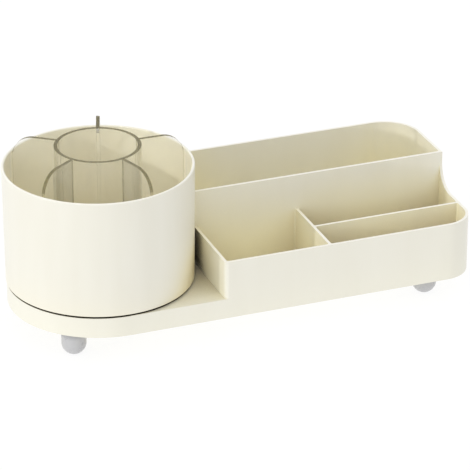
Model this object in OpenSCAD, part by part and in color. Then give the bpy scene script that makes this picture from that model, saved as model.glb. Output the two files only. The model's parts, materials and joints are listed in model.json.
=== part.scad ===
// Brush cup that turns on the round end of a compartment tray, with a clear lift-out divider.
// Millimetres, +Z up. Origin: middle of the overall footprint, on the surface the feet stand on.

/* [Cup] */
// Outside diameter of the cup at its rim
cup_d = 145; // [130:1:170]
// Height of the cup, bottom edge to rim
cup_h = 92.8; // [70:0.2:130]
// How much smaller the cup's radius is at its bottom edge
cup_taper = 0.8; // [0.2:0.1:1.4]
// Thickness of the cup's wall
cup_wall = 2.2; // [1.6:0.1:3]
// Thickness of the cup's floor
cup_floor = 2.4; // [2:0.1:4]
// Height of the dark gap between the cup and the platform
cup_gap = 1.4; // [0.8:0.1:2.4]

/* [Tray] */
// How far the platform's edge lies inside the cup's rim
tray_reveal = 1.5; // [0.8:0.1:4]
// Height of the platform under the cup
platform_h = 16.2; // [14:0.2:24]
// Thickness of the platform's top plate
plate_t = 2.4; // [1.8:0.1:4]
// Depth of the round well that the turntable lies in
well_d = 2; // [1:0.1:3]
// Width of the flat between the well and the platform's rounded edge
well_land = 0.2; // [0.1:0.1:2]
// Slope of the well's side
well_slope = 28; // [20:1:60]
// Radius along the platform's top edge
edge_r = 0.3; // [0.2:0.1:0.6]
// Thickness of the tray's walls and dividers
wall_t = 2.2; // [1.6:0.1:3]
// Clear space between the cup's rim and the compartments
cup_clear = 2.3; // [1.5:0.1:8]
// Length of the compartments
box_len = 207.6; // [180:0.2:260]
// Height of the low front walls and dividers
low_h = 46.8; // [34:0.2:54]
// Height of the tall rear bin
tall_h = 75.2; // [70:0.2:100]
// Radius of the shoulder from the low end wall up to the tall one
shoulder_r = 20; // [8:0.5:22]
// Plan radius of the rear corner
rear_corner_r = 30; // [12:1:34]
// Plan radius of the front corner
front_corner_r = 24; // [12:1:32]
// Radius of the upright edges beside the cup
box_edge_r = 3.5; // [2.6:0.1:6]
// Depth of the rear bin inside
rear_bin_d = 68.8; // [50:0.2:74]
// Width of the front bin inside
front_bin_w = 82; // [50:1:110]
// Depth of the front slot inside
front_slot_d = 31.6; // [22:0.2:36]
// Thickness of the floor of the compartments
floor_t = 2.2; // [1.6:0.1:3]
// Height of the hollow under the compartments
sole_h = 3; // [2:0.1:4]
// Thickness of the stiffening ribs underneath
rib_t = 1.6; // [1:0.1:2.4]

/* [Brush divider] */
// Outside diameter of the clear tube
tube_d = 65.6; // [50:0.2:76]
// Thickness of the clear tube and fins
clear_t = 2.8; // [2:0.1:3.6]
// Height of the divider
divider_h = 100.9; // [80:0.1:140]
// Number of fins
fin_count = 5; // [3:1:7]
// Direction of the first fin
fin_turn = 71; // [0:1:119]
// Radius of the fins' top outer corner
fin_corner_r = 17; // [4:1:20]
// Gap between the fins and the cup's wall
fin_gap = 2; // [1.2:0.1:4]

/* [Turntable] */
// Diameter of the bearing balls
ball_d = 5; // [4:0.5:6]
// Number of bearing balls
ball_count = 16; // [8:1:24]
// How far the balls run inside the cup's rim
ball_in = 26.5; // [24.5:0.5:32]
// Thickness of a race under its track
race_base = 1.4; // [1:0.1:2.4]
// Height of each race
race_h = 3.2; // [2.8:0.1:3.6]
// Width of a race inside the ball circle
race_in = 10; // [9:0.5:12]
// Width of a race outside the ball circle
race_out = 8; // [6:0.5:9]
// Thickness of the cage between the races
cage_t = 1; // [0.6:0.1:1.2]
// Width of the cage beside its ball pockets
cage_rim = 1.4; // [1:0.1:2]
// Diameter of the pivot post
post_d = 12; // [10:0.5:14]
// Wall of the pivot bush
bush_wall = 2; // [1.5:0.1:2.5]
// Width of the bush's flange
flange_w = 3; // [2:0.1:4]
// Thickness of the bush's flange
flange_t = 0.8; // [0.6:0.1:1]
// Thickness of the pivot washer
washer_t = 1; // [0.8:0.1:1.2]
// How far the washer reaches past the bush
washer_lap = 1; // [0.6:0.1:1.6]
// Thickness of the cap over the pivot
cap_t = 1.6; // [1.2:0.1:2]
// Width of the ledge that the cap lies on
cap_ledge = 5; // [3:0.5:7]
// Diameter of the pivot screw's head
screw_head_d = 11; // [9:0.5:12]
// Diameter of the pivot screw's shank
screw_d = 4; // [3:0.5:5]
// Number of screws through the lower race
race_screws = 4; // [4:4:8]
// Diameter of the lower race's screw heads
race_head_d = 4.8; // [4:0.2:5.2]
// Diameter of the lower race's screw shanks
race_screw_d = 2.4; // [2:0.2:2.8]

/* [Feet] */
// Diameter of a foot
foot_d = 19; // [14:0.2:20]
// Length of a foot above its dome
foot_stem = 10.8; // [6:0.2:16]
// Depth of the flat worn on the dome's end
foot_flat = 0.6; // [0.3:0.1:1.2]
// Depth of the sockets that the feet stand in
socket_d = 1.2; // [0.8:0.1:1.6]
// Thickness of the adhesive discs above the feet
pad_t = 0.4; // [0.2:0.1:0.5]
// Distance of the feet from the round edge
foot_rim = 11.2; // [10.8:0.1:16]
// Distance of the feet from the tray's long sides
foot_side = 24.2; // [20:0.2:32]
// Distance of the feet from the tray's flat end
foot_end = 33.4; // [24:0.2:60]

/* [Hidden] */
$fn = 96;

// Small gaps between pieces
run_gap = 0.05;   // shafts in their bores
ball_gap = 0.1;   // balls in their tracks and pockets
seat_gap = 0.1;   // rings and caps in their recesses
turn_gap = 0.3;   // faces that pass each other
foot_gap = 0.2;   // feet and pads in their sockets
over = 1;         // how far a cutter runs past the face it opens

ivory = "#f3efe0";
clear_plastic = [0.86, 0.86, 0.8, 0.4];
silicone = [0.78, 0.78, 0.78, 0.9];
steel = "#b9bcc0";
track_white = "#e6e4dc";
adhesive = "#9aa0a2";

// Plan of the tray, measured from the cup's axis
rim_r = cup_d / 2;
tray_r = rim_r - tray_reveal;
box_x = rim_r + cup_clear;
end_x = box_x + box_len;
rear_y = tray_r - wall_t - rear_bin_d;
middle_y = rear_y - wall_t;
front_bin_x = box_x + wall_t + front_bin_w;
slot_x = front_bin_x + wall_t;
front_slot_y = front_slot_d + wall_t - tray_r;
middle_slot_y = front_slot_y + wall_t;
floor_top = sole_h + floor_t;

// Round well in the platform, with a side that slopes in
well_r = tray_r - edge_r - well_land;
well_floor_r = well_r - well_d / tan(well_slope);
deck_h = platform_h - well_d;

// Levels of the turntable, above the well's floor
ball_z = race_base + ball_gap + ball_d / 2;
under_cup = 2 * ball_z;
cup_floor_top = under_cup + cup_floor;
ball_r = rim_r - ball_in;
race_r1 = ball_r - race_in;
race_r2 = ball_r + race_out;
track_r = ball_d / 2 + ball_gap;

// Pivot, above the well's floor
post_r = post_d / 2;
bush_r = post_r + run_gap + bush_wall;
flange_r = bush_r + flange_w;
hub_z = turn_gap + flange_t;
washer_r = bush_r + washer_lap;
washer_gap = 1;
hub_bore_r = washer_r + washer_gap;
cap_r = hub_bore_r + cap_ledge;
cap_z = cup_floor_top - cap_t;
head_h = 2;
post_h = cap_z - turn_gap - head_h - washer_t;
bush_top = post_h - turn_gap;
hub_wall = 3;
hub_r = cap_r + hub_wall;
pilot_depth = 13;
boss_wall = 2.2;

// Lower race's screws
race_margin = 1;
race_screw_r = race_r1 + race_head_d / 2 + race_margin;
race_head_h = 1.5;
race_screw_len = 8;
head_lap = 0.5;

// Cup's wall
foot_r = rim_r - cup_taper;
cup_z = well_d + cup_gap;
cup_rim = cup_wall / 2;
cup_slope = cup_taper / (cup_h - cup_rim);
floor_r = foot_r + cup_slope * (cup_floor_top - cup_z) - cup_wall;

// Brush divider
tube_r = tube_d / 2;
fin_r = floor_r - fin_gap;
cup_fillet = fin_gap * 0.7;
spigot_h = 2.4;
spigot_t = 1.6;
spigot_r = tube_r - clear_t - turn_gap;

// Feet
dome_r = foot_d / 2;
foot_h = foot_stem + dome_r - foot_flat;
foot_top = socket_d - pad_t;
stand_h = foot_h - foot_top;
foot_y = tray_r - foot_side;
left_foot_x = -sqrt(pow(tray_r - foot_rim, 2) - pow(foot_y, 2));
right_foot_x = end_x - foot_end;
socket_r = dome_r + foot_gap;
pad_margin = 1;
pad_r = dome_r - pad_margin;

// The cup's axis and the tray's bottom edge in the part's own frame
cup_x = (rim_r - end_x) / 2;

module placed(z = 0) {
    translate([cup_x, 0, stand_h + z]) children();
}

module on_deck() {
    placed(deck_h) children();
}

// Plan of the whole tray, drawn in by inset
module tray_plan(inset = 0) {
    half = tray_r - inset;
    end = end_x - inset;
    front_r = front_corner_r - inset;
    rear_r = rear_corner_r - inset;
    circle(r = half);
    translate([0, -half]) square([end - front_r, half]);
    square([end - rear_r, half]);
    translate([0, front_r - half]) square([end, 2 * half - front_r - rear_r]);
    translate([end - front_r, front_r - half]) circle(r = front_r);
    translate([end - rear_r, half - rear_r]) circle(r = rear_r);
}

// Everything right of x, with round upright edges at the tray's long sides
module right_of(x, inset) {
    half = tray_r - inset;
    edge = box_edge_r - inset;
    translate([x + inset + edge, -half - over]) square([box_len, 2 * (half + over)]);
    translate([x + inset, edge - half]) square([box_len, 2 * (half - edge)]);
    for (side = [-1, 1]) {
        translate([x + inset + edge, side * (half - edge)]) circle(r = edge);
    }
}

// Plan of the compartments' block
module box_plan(inset = 0) {
    intersection() {
        tray_plan(inset);
        right_of(box_x, inset);
    }
}

// One compartment: the block's plan inside its walls, between two corners
module bin_plan(low, high) {
    intersection() {
        box_plan(wall_t);
        translate(low) square(high - low);
    }
}

// Section of the platform, from its middle to its rounded edge
module platform_section() {
    square([tray_r, platform_h - edge_r]);
    square([tray_r - edge_r, platform_h]);
    translate([tray_r - edge_r, platform_h - edge_r]) circle(r = edge_r);
}

// Platform: a half disc and a straight run that ends inside the compartments' block
module platform_block() {
    rotate([0, 0, 90]) rotate_extrude(angle = 180) platform_section();
    rotate([90, 0, 90]) linear_extrude(box_x + box_edge_r + over) {
        platform_section();
        mirror([1, 0]) platform_section();
    }
}

// What is cut off the block's front, seen from the end: level, then a concave rise to the tall wall
module shoulder_cut() {
    reach = 2 * tray_r;
    rise = 2 * tall_h;
    translate([middle_y - shoulder_r - reach, low_h]) square([reach, rise]);
    translate([middle_y - reach, low_h + shoulder_r]) square([reach, rise]);
    translate([middle_y - shoulder_r, low_h + shoulder_r]) circle(r = shoulder_r);
}

module foot_places() {
    for (side = [-1, 1]) {
        translate([left_foot_x, side * foot_y]) children();
        translate([right_foot_x, side * foot_y]) children();
    }
}

module race_screw_places() {
    for (i = [0 : race_screws - 1]) {
        rotate(i * 360 / race_screws) translate([race_screw_r, 0]) children();
    }
}

// Bosses that stay solid under the tray
module boss_plan() {
    circle(r = bush_r + boss_wall);
    foot_places() circle(r = socket_r + boss_wall);
    race_screw_places() circle(r = race_screw_d / 2 + boss_wall);
}

// Hollow under the platform
module platform_hollow() {
    intersection() {
        tray_plan(wall_t);
        translate([-tray_r, -tray_r]) square([tray_r + box_x, 2 * tray_r]);
    }
}

// Hollow under the compartments
module box_hollow() {
    intersection() {
        tray_plan(wall_t);
        translate([box_x + wall_t, -tray_r]) square([box_len, 2 * tray_r]);
    }
}

// Two crossed ribs under the platform, through the pivot and the lower race's screws
module platform_rib_plan() {
    square([4 * tray_r, rib_t], center = true);
    square([rib_t, 4 * tray_r], center = true);
}

// Ribs under the compartments stand below the dividers
module box_rib_plan() {
    for (y = [middle_y, front_slot_y]) {
        translate([box_x, y + (wall_t - rib_t) / 2]) square([box_len, rib_t]);
    }
    translate([front_bin_x + (wall_t - rib_t) / 2, -tray_r]) square([rib_t, 2 * tray_r]);
}

module underside_cut() {
    rib_lift = 1;
    translate([0, 0, -over]) linear_extrude(rib_lift + over) difference() {
        union() {
            platform_hollow();
            box_hollow();
        }
        boss_plan();
    }
    linear_extrude(deck_h - plate_t) difference() {
        platform_hollow();
        boss_plan();
        platform_rib_plan();
    }
    linear_extrude(sole_h) difference() {
        box_hollow();
        boss_plan();
        box_rib_plan();
    }
}

// Round well under the cup, which keeps the seam below it in the dark
module well_cut() {
    translate([0, 0, deck_h]) rotate_extrude() {
        polygon([[0, 0], [well_floor_r, 0], [well_r, well_d], [well_r, well_d + over], [0, well_d + over]]);
    }
}

module bins_cut() {
    rise = 2 * tall_h;
    translate([0, 0, floor_top]) linear_extrude(rise) {
        bin_plan([box_x, rear_y], [end_x, tray_r]);
        bin_plan([box_x, -tray_r], [front_bin_x, middle_y]);
        bin_plan([slot_x, middle_slot_y], [end_x, middle_y]);
        bin_plan([slot_x, -tray_r], [end_x, front_slot_y]);
    }
}

// Room above the low walls: open beside the cup, with a shoulder in the end wall alone
module front_cut() {
    reach = tray_r + middle_y + over;
    translate([box_x - over, middle_y - reach, low_h]) cube([box_len + over - wall_t, reach, tall_h]);
    rotate([90, 0, 90]) translate([0, 0, end_x - wall_t - over]) linear_extrude(wall_t + 2 * over)
        shoulder_cut();
}

module tray_body() {
    color(ivory) placed() difference() {
        union() {
            difference() {
                union() {
                    platform_block();
                    linear_extrude(tall_h) box_plan();
                }
                well_cut();
            }
            translate([0, 0, deck_h - over]) cylinder(r = post_r, h = post_h + over);
        }
        bins_cut();
        front_cut();
        underside_cut();
        translate([0, 0, deck_h + post_h - pilot_depth])
            cylinder(d = screw_d + 2 * run_gap, h = pilot_depth + over);
        foot_places() translate([0, 0, -over]) cylinder(r = socket_r, h = socket_d + over);
        race_screw_places() translate([0, 0, deck_h - race_screw_len])
            cylinder(d = race_screw_d + 2 * run_gap, h = race_screw_len + over);
    }
}

// Half section of a race that stands on its base, with a round track for the balls
module race_section() {
    difference() {
        translate([race_r1, 0]) square([race_r2 - race_r1, race_h]);
        translate([ball_r, ball_z]) circle(r = track_r);
    }
}

module lower_race() {
    head_z = race_h - race_head_h;
    color(track_white) on_deck() difference() {
        rotate_extrude() race_section();
        race_screw_places() translate([0, 0, -over]) {
            cylinder(d = race_screw_d + 2 * run_gap, h = race_h + 2 * over);
        }
        race_screw_places() translate([0, 0, head_z - seat_gap]) {
            cylinder(d = race_head_d + 2 * seat_gap, h = race_h);
        }
    }
}

module lower_race_screws() {
    head_z = race_h - race_head_h - seat_gap;
    color(steel) on_deck() race_screw_places() {
        translate([0, 0, head_z]) cylinder(d = race_head_d, h = race_head_h);
        translate([0, 0, head_z - race_screw_len]) cylinder(d = race_screw_d, h = race_screw_len + head_lap);
    }
}

module upper_race() {
    color(track_white) on_deck() translate([0, 0, under_cup]) mirror([0, 0, 1])
        rotate_extrude() race_section();
}

module ball_places() {
    for (i = [0 : ball_count - 1]) {
        rotate(i * 360 / ball_count) translate([ball_r, 0, ball_z]) children();
    }
}

module bearing_balls() {
    color(steel) on_deck() ball_places() sphere(d = ball_d);
}

module ball_cage() {
    rim = track_r + cage_rim;
    color(track_white) on_deck() difference() {
        translate([0, 0, ball_z - cage_t / 2]) difference() {
            cylinder(r = ball_r + rim, h = cage_t);
            translate([0, 0, -over]) cylinder(r = ball_r - rim, h = cage_t + 2 * over);
        }
        ball_places() cylinder(r = track_r, h = 2 * cage_t, center = true);
    }
}

module pivot_bush() {
    color(track_white) on_deck() difference() {
        union() {
            translate([0, 0, turn_gap]) cylinder(r = flange_r, h = flange_t);
            translate([0, 0, turn_gap]) cylinder(r = bush_r, h = bush_top - turn_gap);
        }
        cylinder(r = post_r + run_gap, h = cup_h);
    }
}

module pivot_washer() {
    color(steel) on_deck() translate([0, 0, post_h]) difference() {
        cylinder(r = washer_r, h = washer_t);
        translate([0, 0, -over]) cylinder(d = screw_d + 2 * seat_gap, h = washer_t + 2 * over);
    }
}

module pivot_screw() {
    shank = pilot_depth - turn_gap;
    drive_d = 0.5 * screw_head_d;
    drive_w = 1.4;
    drive_h = 1.2;
    color(steel) on_deck() translate([0, 0, post_h + washer_t]) difference() {
        union() {
            cylinder(d = screw_head_d, h = head_h);
            translate([0, 0, -washer_t - shank]) cylinder(d = screw_d, h = washer_t + shank + over);
        }
        translate([0, 0, head_h - drive_h]) for (turn = [0, 90]) {
            rotate(turn) translate([-drive_d / 2, -drive_w / 2]) cube([drive_d, drive_w, drive_h + over]);
        }
    }
}

module hub_cap() {
    ring_t = 1.2;
    ring_h = 1.6;
    ring_r = hub_bore_r - seat_gap;
    color(ivory) on_deck() translate([0, 0, cap_z]) {
        cylinder(r = cap_r, h = cap_t);
        translate([0, 0, -ring_h]) difference() {
            cylinder(r = ring_r, h = ring_h + cap_t / 2);
            translate([0, 0, -over]) cylinder(r = ring_r - ring_t, h = ring_h + over);
        }
    }
}

// Half section of the cup: tapered wall with a round rim, raised floor, hub and race seat
module cup_section() {
    rim_z = cup_z + cup_h - cup_rim;
    seat_h = 2;
    seat_t = 1.6;
    polygon([
        [foot_r - cup_wall, cup_z],
        [foot_r, cup_z],
        [rim_r, rim_z],
        [rim_r - cup_wall, rim_z]
    ]);
    translate([rim_r - cup_rim, rim_z]) circle(r = cup_rim);
    translate([hub_bore_r, under_cup]) square([floor_r + cup_wall / 2 - hub_bore_r, cup_floor]);
    translate([bush_r + seat_gap, hub_z]) square([hub_r - bush_r - seat_gap, bush_top - hub_z]);
    translate([hub_bore_r, bush_top - over]) square([hub_r - hub_bore_r, under_cup - bush_top + 2 * over]);
    for (x = [race_r1 - seat_gap - seat_t, race_r2 + seat_gap]) {
        translate([x, under_cup - seat_h]) square([seat_t, seat_h + cup_floor / 2]);
    }
    translate([spigot_r - spigot_t, cup_floor_top - over]) square([spigot_t, spigot_h + over]);
    difference() {
        translate([floor_r - cup_fillet, cup_floor_top - over])
            square([cup_fillet + cup_wall / 2, cup_fillet + over]);
        translate([floor_r - cup_fillet, cup_floor_top + cup_fillet]) circle(r = cup_fillet);
    }
}

module rotating_cup() {
    color(ivory) on_deck() difference() {
        rotate_extrude() cup_section();
        translate([0, 0, cap_z]) cylinder(r = cap_r + seat_gap, h = cap_t + over);
    }
}

// One fin, seen from its side, from the tube out to the cup's wall
module fin_section() {
    width = fin_r - tube_r + clear_t / 2;
    translate([tube_r - clear_t / 2, 0]) {
        square([width, divider_h - fin_corner_r]);
        square([width - fin_corner_r, divider_h]);
        translate([width - fin_corner_r, divider_h - fin_corner_r]) circle(r = fin_corner_r);
    }
}

module brush_divider() {
    color(clear_plastic) on_deck() translate([0, 0, cup_floor_top]) {
        difference() {
            cylinder(r = tube_r, h = divider_h);
            translate([0, 0, -over]) cylinder(r = tube_r - clear_t, h = divider_h + 2 * over);
        }
        for (i = [0 : fin_count - 1]) {
            rotate(fin_turn + i * 360 / fin_count) rotate([90, 0, 0])
                linear_extrude(clear_t, center = true) fin_section();
        }
    }
}

// One foot, from its flat up to its top face
module foot_section() {
    intersection() {
        union() {
            translate([0, dome_r - foot_flat]) square([dome_r, foot_stem]);
            translate([0, dome_r - foot_flat]) circle(r = dome_r);
        }
        square([dome_r, foot_h]);
    }
}

module foot(x, side) {
    color(silicone) translate([cup_x + x, side * foot_y]) rotate_extrude() foot_section();
}

module foot_pad(x, side) {
    color(adhesive) translate([cup_x + x, side * foot_y, foot_h]) cylinder(r = pad_r, h = pad_t);
}

module foot_front_left() foot(left_foot_x, -1);
module foot_front_right() foot(right_foot_x, -1);
module foot_rear_left() foot(left_foot_x, 1);
module foot_rear_right() foot(right_foot_x, 1);
module foot_pad_front_left() foot_pad(left_foot_x, -1);
module foot_pad_front_right() foot_pad(right_foot_x, -1);
module foot_pad_rear_left() foot_pad(left_foot_x, 1);
module foot_pad_rear_right() foot_pad(right_foot_x, 1);

tray_body();
lower_race();
lower_race_screws();
pivot_screw();
pivot_washer();
foot_front_left();
foot_front_right();
foot_rear_left();
foot_rear_right();
foot_pad_front_left();
foot_pad_front_right();
foot_pad_rear_left();
foot_pad_rear_right();
rotating_cup();
upper_race();
pivot_bush();
hub_cap();
ball_cage();
bearing_balls();
brush_divider();
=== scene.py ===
"""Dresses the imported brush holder: soft-edged mouldings, clear insert, silicone feet and a studio."""
import json
import math
from types import SimpleNamespace

import bmesh
import bpy
from mathutils import Matrix, Vector


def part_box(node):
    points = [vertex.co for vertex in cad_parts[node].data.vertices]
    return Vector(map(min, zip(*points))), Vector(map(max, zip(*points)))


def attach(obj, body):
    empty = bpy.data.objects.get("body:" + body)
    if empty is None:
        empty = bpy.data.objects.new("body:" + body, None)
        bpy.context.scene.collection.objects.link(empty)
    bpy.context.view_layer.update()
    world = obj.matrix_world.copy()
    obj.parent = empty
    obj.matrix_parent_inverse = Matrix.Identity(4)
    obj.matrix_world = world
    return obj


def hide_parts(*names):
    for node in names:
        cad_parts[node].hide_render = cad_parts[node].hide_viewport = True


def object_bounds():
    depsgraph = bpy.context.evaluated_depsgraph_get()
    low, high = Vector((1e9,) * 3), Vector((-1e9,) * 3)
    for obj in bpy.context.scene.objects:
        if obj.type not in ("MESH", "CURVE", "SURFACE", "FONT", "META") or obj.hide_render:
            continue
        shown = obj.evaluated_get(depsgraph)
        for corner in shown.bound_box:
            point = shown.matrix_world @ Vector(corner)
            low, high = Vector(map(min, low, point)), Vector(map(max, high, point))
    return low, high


bl_info = {
    "name": "Rotating brush holder",
    "version": (1, 0, 0),
    "blender": (4, 5, 0),
    "location": "View3D > Sidebar > Brush holder",
    "description": "Models the tray, cup, clear divider and feet of a rotating brush holder",
    "category": "Add Mesh",
}

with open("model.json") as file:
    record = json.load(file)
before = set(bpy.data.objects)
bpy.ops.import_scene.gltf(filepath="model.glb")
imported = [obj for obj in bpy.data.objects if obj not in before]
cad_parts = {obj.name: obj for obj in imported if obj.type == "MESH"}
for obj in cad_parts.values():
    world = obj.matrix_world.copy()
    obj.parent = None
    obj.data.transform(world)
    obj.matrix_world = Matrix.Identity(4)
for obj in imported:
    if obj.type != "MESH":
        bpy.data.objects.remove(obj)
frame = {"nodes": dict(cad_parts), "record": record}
cad_low, cad_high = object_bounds()
MM = 0.001

tray_low, tray_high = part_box("tray_body")
cup_low, cup_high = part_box("rotating_cup")
cup_axis = (cup_low + cup_high) / 2
insert_low, insert_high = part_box("brush_divider")
race_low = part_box("lower_race")[0]
cap_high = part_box("hub_cap")[1]
FEET = ("foot_front_left", "foot_front_right", "foot_rear_left", "foot_rear_right")
RACE_SCREWS = 4

# Distances within which points are merged, or count as lying at a height, line or corner.
MERGE = 0.001 * MM
WELD = 0.002 * MM
NEAR = 0.01 * MM
CORNER_NEAR = 0.1 * MM

# How far solids reach past each other where they are joined or cut.
LAP = 1 * MM

# Steps round whole circles.
RING_STEPS = 192
TUBE_STEPS = 140
BOSS_STEPS = 64
BALL_STEPS = 64
STUD_STEPS = 48
PILOT_STEPS = 32
HOLE_STEPS = 24

# Steps along rounded edges and corners.
END_STEPS = 48
CORNER_STEPS = 24
ARC_STEPS = 20
WIDE_STEPS = 6
FILLET_STEPS = 4
EDGE_STEPS = 3
FINE_STEPS = 2

# Share of a half width that one round takes where two would meet in the middle.
ALMOST = 0.9999

# Share of the cup's wall that each side of its round rim takes.
RIM_SHARE = 0.49

# Angles between faces: shaded smooth below the first, and sharp above the others.
SMOOTH = math.radians(35)
SHARP = math.radians(30)
RIM_SHARP = math.radians(45)

# Share of a face's normal along a direction, from nearly all to a slight tilt.
UPWARD = 0.9
FACING = 0.5
EDGE_TILT = 0.15
TILT = 0.1

# Painted shade and bounce light where a surface is closed in: how far the occlusion looks,
# and the open shares between which a colour changes.
GAP_SHADE = (5 * MM, 0.2, 0.42)
TRAY_GAP_SHADE = (10 * MM, 0.15, 0.4)
WELL_GAP_SHADE = (40 * MM, 0.3, 0.8)
NOOK_REACH = 42 * MM
NOOK_LOW = 0.1
NOOK_HIGH = 0.6
BIN_NOOK_HIGH = 0.78
DEEP = (70 * MM, 0.25, 0.92)
AO_SAMPLES = 8

# Part of the noise's range that the finishes use.
NOISE_LOW = 0.3
NOISE_HIGH = 0.7

MOULDED_IOR = 1.5
CLEAR_IOR = 1.49
SILICONE_IOR = 1.41
GLOSS = 0.45
WELL_GLOSS = 0.05
WHITE = (1, 1, 1, 1)

# Name of each light, its azimuth, elevation and spread in degrees, and its power.
LIGHTS = (
    ("low_key", -78.5, 12, 1.2, 0.62),
    ("soft_front", -45, 20, 50, 0.3),
    ("soft_top", -20, 80, 70, 0.2),
)
FLOOR_SIZE = 12
SENSOR_WIDTH = 36
VIEW_END = 50


def length(name, description, default):
    """A size in metres that a user can change."""
    return bpy.props.FloatProperty(
        name=name, description=description, default=default,
        min=0.0, precision=5, subtype="DISTANCE", unit="LENGTH"
    )


def shade(name, what, colour):
    """A colour that a user can change."""
    return bpy.props.FloatVectorProperty(
        name=name, description="Colour of " + what, default=(*colour, 1),
        min=0.0, max=1.0, size=4, subtype="COLOR"
    )


class TraySizes(bpy.types.PropertyGroup):
    """Sizes of the tray moulding."""

    wall: length("Wall", "Thickness of the walls and dividers", 2.2 * MM)
    cup_clear: length("Room beside the cup", "Gap between the cup's rim and the compartments", 2.3 * MM)
    low_height: length("Low height", "Height of the low front walls above the bottom edge", 46.8 * MM)
    shoulder: length("Shoulder", "Radius where the low end wall rises to the tall one", 20 * MM)
    rear_corner: length("Rear corner", "Plan radius of the rear corner", 30 * MM)
    front_corner: length("Front corner", "Plan radius of the front corner", 24 * MM)
    box_edge: length("Upright edge", "Radius of the upright edges beside the cup", 3.5 * MM)
    well: length("Well", "Depth of the round well that the turntable lies in", 2 * MM)
    well_land: length("Well land", "Flat between the well and the platform's rounded edge", 0.2 * MM)
    well_slope: bpy.props.FloatProperty(
        name="Well slope", description="Slope of the well's side", default=math.radians(28), subtype="ANGLE"
    )
    platform_edge: length("Platform edge", "Radius along the platform's top edge", 0.3 * MM)
    bottom_edge: length("Bottom edge", "Radius along the tray's bottom edge", 0.5 * MM)
    rim_edge: length("Rim edge", "Radius along the tops of the walls", 0.7 * MM)
    bin_corner: length("Bin corner", "Radius of the upright corners inside the bins", 1.2 * MM)
    bin_floor: length("Bin floor edge", "Radius around the floors of the bins", 1.2 * MM)
    rear_bin: length("Rear bin depth", "Depth of the rear bin inside", 68.8 * MM)
    front_bin: length("Front bin width", "Width of the front bin inside", 82 * MM)
    front_slot: length("Front slot depth", "Depth of the front slot inside", 31.6 * MM)
    floor: length("Floor", "Thickness of the floor of the compartments", 2.2 * MM)
    sole: length("Sole", "Height of the hollow under the compartments", 3 * MM)
    plate: length("Plate", "Thickness of the platform's top plate", 2.4 * MM)
    rib: length("Rib", "Thickness of the ribs underneath", 1.6 * MM)
    rib_lift: length("Rib lift", "How far the ribs end above the bottom edge", 1 * MM)
    boss: length("Boss wall", "Wall round the bosses underneath", 2.2 * MM)
    post: length("Post", "Radius of the pivot post", 6 * MM)
    pivot_boss: length("Pivot boss", "Radius of the boss under the pivot post", 10.25 * MM)
    pilot: length("Pilot hole", "Radius of the pivot screw's hole", 2.05 * MM)
    screw_head: length("Race screw head", "Radius of the lower race's screw heads", 2.4 * MM)
    screw_hole: length("Race screw hole", "Radius of the holes for the lower race's screws", 1.25 * MM)
    socket_depth: length("Socket depth", "Depth of the sockets that the feet stand in", 1.2 * MM)
    socket_gap: length("Socket gap", "Gap round the feet in their sockets", 0.2 * MM)


class CupSizes(bpy.types.PropertyGroup):
    """Sizes of the turning cup."""

    wall: length("Wall", "Thickness of the cup's wall", 2.2 * MM)
    taper: length("Taper", "How much smaller the radius is at the bottom edge", 0.8 * MM)
    # The gap is dark from real shade and from painted shade in the well below it.
    gap: length("Gap", "Height of the dark gap between the cup and the platform", 1.7 * MM)
    floor_edge: length("Floor edge", "Radius where the wall meets the floor", 1.4 * MM)
    bottom_edge: length("Bottom edge", "Radius along the bottom edge", 0.3 * MM)
    spigot: length("Spigot height", "Height of the ring that centres the clear tube", 2.4 * MM)
    spigot_wall: length("Spigot wall", "Thickness of the ring that centres the clear tube", 1.6 * MM)
    spigot_gap: length("Spigot gap", "Gap between that ring and the clear tube", 0.3 * MM)
    seat_gap: length("Seat gap", "Gap round the cap, the bush and the upper race", 0.1 * MM)
    seat: length("Seat height", "Height of the rings that hold the upper race", 2 * MM)
    seat_wall: length("Seat wall", "Thickness of the rings that hold the upper race", 1.6 * MM)
    race_bore: length("Race bore", "Inside radius of the upper race", 36 * MM)
    cap: length("Cap", "Thickness of the cap's plate", 1.6 * MM)
    hub_bore: length("Hub bore", "Radius of the room round the washer", 10.05 * MM)
    hub_wall: length("Hub wall", "How far the hub reaches past the cap", 3 * MM)
    bush: length("Bush", "Outside radius of the pivot bush", 8.05 * MM)
    flange: length("Flange", "Thickness of the bush's flange", 0.8 * MM)


class InsertSizes(bpy.types.PropertyGroup):
    """Sizes of the clear lift-out divider."""

    tube: length("Tube", "Outside radius of the clear tube", 32.8 * MM)
    sheet: length("Thickness", "Thickness of the tube and fins", 2.8 * MM)
    fin_reach: length("Fin reach", "Distance of the fins' outer edge from the axis", 67.56 * MM)
    fin_corner: length("Fin corner", "Radius of the fins' top outer corner", 17 * MM)
    # The fins' smoky root is painted shade: a darker cast on them, seen at a slant.
    root: length("Fin root", "Distance from the axis to the end of the fins' smoky root", 57 * MM)
    edge: length("Edge", "Radius along the polished edges", 0.35 * MM)
    fins: bpy.props.IntProperty(name="Fins", description="Number of fins", default=5, min=3, max=9)
    turn: bpy.props.FloatProperty(
        name="First fin", description="Direction of one fin", default=math.radians(71), subtype="ANGLE"
    )


class FootSizes(bpy.types.PropertyGroup):
    """Sizes of the soft feet."""

    flat: length("Flat", "Depth of the flat on the dome's end", 0.6 * MM)
    edge: length("Edge", "Radius along the foot's edges", 0.5 * MM)
    # The darker part is painted shade close under the tray.
    root: length("Root", "Height of the darker part close under the tray", 5 * MM)


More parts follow.
